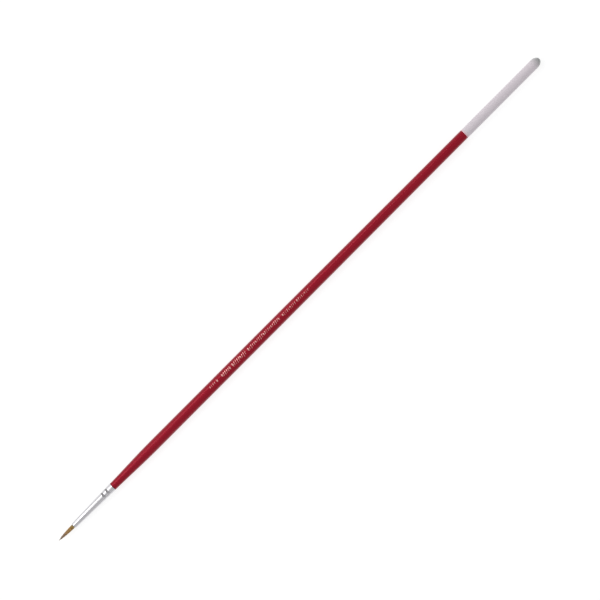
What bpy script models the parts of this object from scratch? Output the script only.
"""Fine detail brush: a pointed hair tuft in a crimped metal ferrule, on a long lacquered handle.

The brush lies along X on the plane Z = 0, tuft towards -X, with the middle of its length at X = 0.
A station is a distance from the tuft's point towards the handle's end. Every turned piece is an
outline of (station, radius) pairs, spun about the brush's axis into flat-sided facets, and every
radius is measured to the flats. Sizes are in metres.

The tuft bends just outside the ferrule. Its heel, held by the ferrule, ends in a ball centred on
the bend, and the moving part covers that ball with a cup, so that it turns without touching it.
"""

import math

import bmesh
import bpy

# Overall sizes
OVERALL_LENGTH = 0.300
TUFT_LENGTH = 0.0094  # hair that shows in front of the ferrule
FERRULE_LENGTH = 0.0245
WHITE_LENGTH = 0.0466  # dipped tail of the handle, with its end bead

# Handle, over its lacquer
BELLY_RADIUS = 0.00245
NECK_STEP = 0.00013  # how much slimmer the handle's neck is than the ferrule's end
TAIL_TAPER = 0.00019  # how much slimmer the end of the red coat is than the belly
SWELL_LENGTH = 0.026  # from the neck to the full belly
SWELL_POWER = 1.5
BELLY_LENGTH = 0.081  # the straight stretch after the swell
LACQUER = 0.00025
DIP_STEP = 0.00003  # the white coat stands this much proud of the red one
EDGE_ROUND = 0.00012  # rounded edge of a lacquer coat
DOME_LENGTH = 0.0033
BEAD_LENGTH = 0.0015  # grey bead on the end of the dome
BEAD_FLAT_RADIUS = 0.0006  # the bead's end face, which the brush stands on in a jar
DIP_END_WALL = 0.0004  # white lacquer between the wood's end and the bead

# Ferrule, a tapered tube whose mouth curls in onto the hairs
FERRULE_END_RADIUS = 0.00197
FERRULE_WALL = 0.00022
CURL_IN = 0.00004  # how far the curl closes the bore
CURL_LENGTH = 0.0006
RIM_ROUND = 0.00006
CRIMP_FROM_END = (0.00305, 0.0055)  # centres of the two crimp grooves
CRIMP_HALF_WIDTH = 0.00065
CRIMP_DEPTH = 0.00022

# Inside the ferrule: the binding, then the glue plug, then the tenon
THREAD_TURNS = 6
THREAD_RADIUS = 0.00011
THREAD_TO_PLUG = 0.00077
PLUG_DEPTH = 0.0106  # behind the ferrule's mouth
PLUG_LENGTH = 0.0024
PLUG_OVER_ROOTS = 0.0014  # how far the glue reaches forwards over the hair roots
PLUG_TO_TENON = 0.0005
TENON_CHAMFER = 0.0003
GLUE_FILM = 0.00015  # between the tenon and the ferrule
GLUE_SETBACK = 0.0005  # from the tenon's front and from the ferrule's end

# Tuft
TUFT_RADIUS = 0.00095  # at the ferrule's mouth
ROOT_TAPER = 0.003  # stretch behind the mouth over which the hairs gather
POINT_RADIUS = 0.00006
TAPER_POWER = 2.2
BEND_FROM_MOUTH = 0.00137  # where a clamped bundle this long seems to hinge

# Fits and facets
FIT_GAP = 0.0001  # between neighbouring pieces
SIDES = 24  # a multiple of 4, so that flats face down and to both sides
ARC_STEPS = 6
MERGE = 1e-7
SHARP_ANGLE = math.radians(35)

MOUTH = TUFT_LENGTH
MOUTH_RADIUS = TUFT_RADIUS + FIT_GAP + CURL_IN + FERRULE_WALL  # of the cone, at the mouth
FERRULE_END = MOUTH + FERRULE_LENGTH
NECK_RADIUS = FERRULE_END_RADIUS - NECK_STEP
PLUG_FRONT = MOUTH + PLUG_DEPTH
PLUG_BACK = PLUG_FRONT + PLUG_LENGTH
ROOT_END = PLUG_FRONT + PLUG_OVER_ROOTS - FIT_GAP
TENON_FRONT = PLUG_BACK + PLUG_TO_TENON
THREAD_PITCH = 2 * THREAD_RADIUS + FIT_GAP
THREAD_START = PLUG_FRONT - THREAD_TO_PLUG - THREAD_RADIUS - THREAD_TURNS * THREAD_PITCH
RED_START = FERRULE_END + FIT_GAP
WHITE_START = OVERALL_LENGTH - WHITE_LENGTH
BELLY_START = FERRULE_END + SWELL_LENGTH
BELLY_END = BELLY_START + BELLY_LENGTH
TAIL_RADIUS = BELLY_RADIUS - TAIL_TAPER
WHITE_RADIUS = TAIL_RADIUS + DIP_STEP
DOME_START = OVERALL_LENGTH - DOME_LENGTH * math.sqrt(1 - (BEAD_FLAT_RADIUS / WHITE_RADIUS) ** 2)
BEAD_START = OVERALL_LENGTH - BEAD_LENGTH
BEND = MOUTH - BEND_FROM_MOUTH

MATERIALS = {
    "wood": ((0.72, 0.53, 0.33), 0.7, 0.0),
    "red": ((0.45, 0.012, 0.03), 0.22, 0.0),
    "white": ((0.62, 0.56, 0.59), 0.3, 0.0),
    "grey": ((0.33, 0.34, 0.34), 0.25, 0.0),
    "nickel": ((0.78, 0.77, 0.79), 0.2, 1.0),
    "glue": ((0.55, 0.38, 0.15), 0.35, 0.0),
    "thread": ((0.8, 0.76, 0.66), 0.9, 0.0),
    "hair": ((0.42, 0.24, 0.09), 0.55, 0.0),
}


def clear_scene():
    for obj in list(bpy.data.objects):
        bpy.data.objects.remove(obj)


def make_materials():
    made = {}
    for name, (colour, roughness, metallic) in MATERIALS.items():
        material = bpy.data.materials.new(name)
        material.use_nodes = True
        shader = material.node_tree.nodes["Principled BSDF"]
        shader.inputs["Base Color"].default_value = (*colour, 1)
        shader.inputs["Roughness"].default_value = roughness
        shader.inputs["Metallic"].default_value = metallic
        made[name] = material
    return made


def add_object(name, data, parent, station=0.0):
    """Adds an object, or an empty where data is None, at a distance along its parent's X axis."""
    obj = bpy.data.objects.new(name, data)
    obj.parent = parent
    obj.location.x = station
    bpy.context.scene.collection.objects.link(obj)
    return obj


def steps(first, last, count):
    """count + 1 evenly spaced values, both ends included."""
    return [first + (last - first) * i / count for i in range(count + 1)]


def turned(name, outline, material, parent, origin=0.0):
    """A solid of revolution, with its own origin at one station on the axis.

    An outline that starts and ends on the axis makes a bar; one that never touches it makes a ring.
    """
    half_side = math.pi / SIDES
    shape = bmesh.new()
    points = [shape.verts.new((s - origin, r * math.tan(half_side), r)) for s, r in outline]
    lines = [shape.edges.new(pair) for pair in zip(points, points[1:])]
    if outline[0][1] > 0:
        lines.append(shape.edges.new((points[-1], points[0])))
    bmesh.ops.spin(
        shape,
        geom=points + lines,
        cent=(0, 0, 0),
        axis=(1, 0, 0),
        angle=2 * math.pi,
        steps=SIDES,
        use_merge=True,
    )
    bmesh.ops.remove_doubles(shape, verts=shape.verts, dist=MERGE)
    bmesh.ops.recalc_face_normals(shape, faces=shape.faces)
    mesh = bpy.data.meshes.new(name)
    shape.to_mesh(mesh)
    shape.free()
    mesh.shade_smooth()
    mesh.set_sharp_from_angle(angle=SHARP_ANGLE)
    mesh.materials.append(material)
    return add_object(name, mesh, parent)


def handle_radius(station):
    """Outer radius of the lacquered handle: neck, swell, straight belly, then a slow taper."""
    if station <= BELLY_START:
        share = max(0.0, (station - FERRULE_END) / SWELL_LENGTH)
        rise = math.sin(share * math.pi / 2) ** SWELL_POWER
        return NECK_RADIUS + (BELLY_RADIUS - NECK_RADIUS) * rise
    share = min(1.0, max(0.0, (station - BELLY_END) / (WHITE_START - BELLY_END)))
    return BELLY_RADIUS + (TAIL_RADIUS - BELLY_RADIUS) * share


def handle_stations(first, last):
    """Stations that the handle's curve needs between first and last."""
    found = {first, last, BELLY_END, WHITE_START} | set(steps(FERRULE_END, BELLY_START, 10))
    return sorted(s for s in found if first <= s <= last)


def dome_radius(station):
    """Radius of the dipped end, a half ellipse cut off at the bead's flat."""
    share = (station - DOME_START) / DOME_LENGTH
    return WHITE_RADIUS * math.sqrt(max(0.0, 1 - share**2))


def ferrule_radius(station):
    """Outer radius of the ferrule's cone, pressed in at the two crimps."""
    share = (station - MOUTH) / FERRULE_LENGTH
    radius = MOUTH_RADIUS + (FERRULE_END_RADIUS - MOUTH_RADIUS) * share
    for from_end in CRIMP_FROM_END:
        across = abs(station - (FERRULE_END - from_end)) / CRIMP_HALF_WIDTH
        if across < 1:
            radius -= CRIMP_DEPTH * (1 + math.cos(math.pi * across)) / 2
    return radius


def bore_radius(station):
    return ferrule_radius(station) - FERRULE_WALL


def ferrule_stations(first, last):
    """The two ends, with the extra stations that the crimp grooves between them need."""
    found = {first, last}
    for from_end in CRIMP_FROM_END:
        centre = FERRULE_END - from_end
        found |= set(steps(centre - CRIMP_HALF_WIDTH, centre + CRIMP_HALF_WIDTH, 6))
    return sorted(s for s in found if first <= s <= last)


def root_radius():
    """Radius of the tied roots: what the bore leaves for them inside the thread."""
    return bore_radius(THREAD_START) - FIT_GAP - 2 * THREAD_RADIUS - FIT_GAP


def tuft_radius(station):
    """Radius of the showing hair, an ogive from the point to the ferrule's mouth."""
    return max(POINT_RADIUS, TUFT_RADIUS * (1 - (1 - station / TUFT_LENGTH) ** TAPER_POWER))


def make_handle(materials, axis):
    """The turned wooden core, its red and white coats, and the grey bead on its end."""
    tenon_inset = FIT_GAP + GLUE_FILM + FIT_GAP
    under_coat = LACQUER + FIT_GAP
    pocket_end = BEAD_START - FIT_GAP - DIP_END_WALL
    quarter = steps(0, math.pi / 2, ARC_STEPS)

    core = [(TENON_FRONT, 0.0), (TENON_FRONT, bore_radius(TENON_FRONT) - tenon_inset - TENON_CHAMFER)]
    for s in ferrule_stations(TENON_FRONT + TENON_CHAMFER, FERRULE_END):
        core.append((s, bore_radius(s) - tenon_inset))
    core += [(s, handle_radius(s) - under_coat) for s in handle_stations(RED_START, DOME_START)]
    end_length, end_radius = pocket_end - FIT_GAP - DOME_START, core[-1][1]
    core += [(DOME_START + end_length * math.sin(a), end_radius * math.cos(a)) for a in quarter[1:-1]]
    core.append((pocket_end - FIT_GAP, 0.0))
    turned("handle_core", core, materials["wood"], axis)

    red_end = WHITE_START - FIT_GAP
    red = [(RED_START, handle_radius(RED_START) - EDGE_ROUND)]
    for s in handle_stations(RED_START + EDGE_ROUND, red_end - EDGE_ROUND):
        red.append((s, handle_radius(s)))
    red.append((red_end, handle_radius(red_end) - EDGE_ROUND))
    red += [(s, handle_radius(s) - LACQUER) for s in reversed(handle_stations(RED_START, red_end))]
    turned("red_lacquer", red, materials["red"], axis)

    pocket_radius = TAIL_RADIUS - LACQUER
    white = [(pocket_end, 0.0)]
    for a in reversed(quarter[:-1]):
        white.append((DOME_START + (pocket_end - DOME_START) * math.sin(a), pocket_radius * math.cos(a)))
    white += [(WHITE_START, pocket_radius), (WHITE_START, WHITE_RADIUS - EDGE_ROUND)]
    white.append((WHITE_START + EDGE_ROUND, WHITE_RADIUS))
    white += [(s, dome_radius(s)) for s in steps(DOME_START, BEAD_START - FIT_GAP, ARC_STEPS)]
    white.append((BEAD_START - FIT_GAP, 0.0))
    turned("white_lacquer", white, materials["white"], axis)

    bead = [(s, dome_radius(s)) for s in steps(BEAD_START, OVERALL_LENGTH, ARC_STEPS)]
    turned("end_bead", [(BEAD_START, 0.0), *bead, (OVERALL_LENGTH, 0.0)], materials["grey"], axis)


def make_ferrule(materials, axis):
    """The plated tube with its curled mouth and two crimps, and the glue that bonds it to the tenon."""
    lip_radius = TUFT_RADIUS + FIT_GAP
    behind_curl = MOUTH + CURL_LENGTH
    front_radius = lip_radius + RIM_ROUND
    rise = ferrule_radius(behind_curl) - front_radius
    tube = [
        (behind_curl - CURL_LENGTH * math.cos(a), front_radius + rise * math.sin(a))
        for a in steps(0, math.pi / 2, ARC_STEPS)
    ]
    tube += [(s, ferrule_radius(s)) for s in ferrule_stations(behind_curl, FERRULE_END - RIM_ROUND)[1:]]
    tube.append((FERRULE_END, FERRULE_END_RADIUS - RIM_ROUND))
    inside_curl = behind_curl + FERRULE_WALL
    tube += [(s, bore_radius(s)) for s in reversed(ferrule_stations(inside_curl, FERRULE_END))]
    tube += [(MOUTH + FERRULE_WALL, lip_radius), (MOUTH, lip_radius)]
    turned("ferrule", tube, materials["nickel"], axis)

    first, last = TENON_FRONT + GLUE_SETBACK, FERRULE_END - GLUE_SETBACK
    film = [(s, bore_radius(s) - FIT_GAP) for s in ferrule_stations(first, last)]
    film += [(s, radius - GLUE_FILM) for s, radius in reversed(film)]
    turned("tenon_glue", film, materials["glue"], axis)


def make_root_fixings(materials, axis):
    """What holds the hairs in the ferrule: the thread tied round their roots, and a plug of glue."""
    pocket_end = ROOT_END + FIT_GAP
    pocket = root_radius() + FIT_GAP
    plug = [(pocket_end, 0.0), (pocket_end, pocket), (PLUG_FRONT, pocket)]
    plug += [(s, bore_radius(s) - FIT_GAP) for s in (PLUG_FRONT, PLUG_BACK)]
    turned("root_glue_plug", [*plug, (PLUG_BACK, 0.0)], materials["glue"], axis)

    winding = root_radius() + FIT_GAP + THREAD_RADIUS
    points_per_turn = 16
    thread = bpy.data.curves.new("binding_thread", "CURVE")
    thread.dimensions = "3D"
    thread.bevel_depth = THREAD_RADIUS
    thread.bevel_resolution = 2
    thread.use_fill_caps = True
    thread.materials.append(materials["thread"])
    line = thread.splines.new("POLY")
    line.points.add(THREAD_TURNS * points_per_turn)
    for i, point in enumerate(line.points):
        angle = 2 * math.pi * i / points_per_turn
        advance = THREAD_PITCH * i / points_per_turn
        point.co = (advance, winding * math.cos(angle), winding * math.sin(angle), 1)
    add_object("binding_thread", thread, axis, THREAD_START)


def make_tuft(materials, axis):
    """The hairs: the heel held by the ferrule, which ends in a ball, and the moving part cupped over it."""
    ball = tuft_radius(BEND)
    root = root_radius()
    heel = [(ROOT_END, 0.0), (ROOT_END, root), (MOUTH + ROOT_TAPER, root), (MOUTH, TUFT_RADIUS)]
    heel += [(BEND - ball * math.sin(a), ball * math.cos(a)) for a in steps(0, math.pi / 2, ARC_STEPS)[:-1]]
    heel.append((BEND - ball, 0.0))
    turned("tuft_heel", heel, materials["hair"], axis)

    cup = ball + FIT_GAP
    rim_angle = math.acos(tuft_radius(BEND - math.sqrt(cup**2 - ball**2)) / cup)
    rim = BEND - cup * math.sin(rim_angle)
    tuft = [(BEND - cup, 0.0)]
    for a in steps(math.pi / 2, rim_angle, ARC_STEPS)[1:]:
        tuft.append((BEND - cup * math.sin(a), cup * math.cos(a)))
    tuft += [(s, tuft_radius(s)) for s in steps(rim, 0.0, 10)[1:]]
    tuft.append((0.0, 0.0))
    hinge = add_object("tuft_hinge", None, axis, BEND)
    turned("tuft", tuft, materials["hair"], hinge, BEND)


def main():
    clear_scene()
    materials = make_materials()
    axis = add_object("brush_axis", None, None, -OVERALL_LENGTH / 2)
    axis.location.z = BELLY_RADIUS
    make_handle(materials, axis)
    make_ferrule(materials, axis)
    make_root_fixings(materials, axis)
    make_tuft(materials, axis)


main()
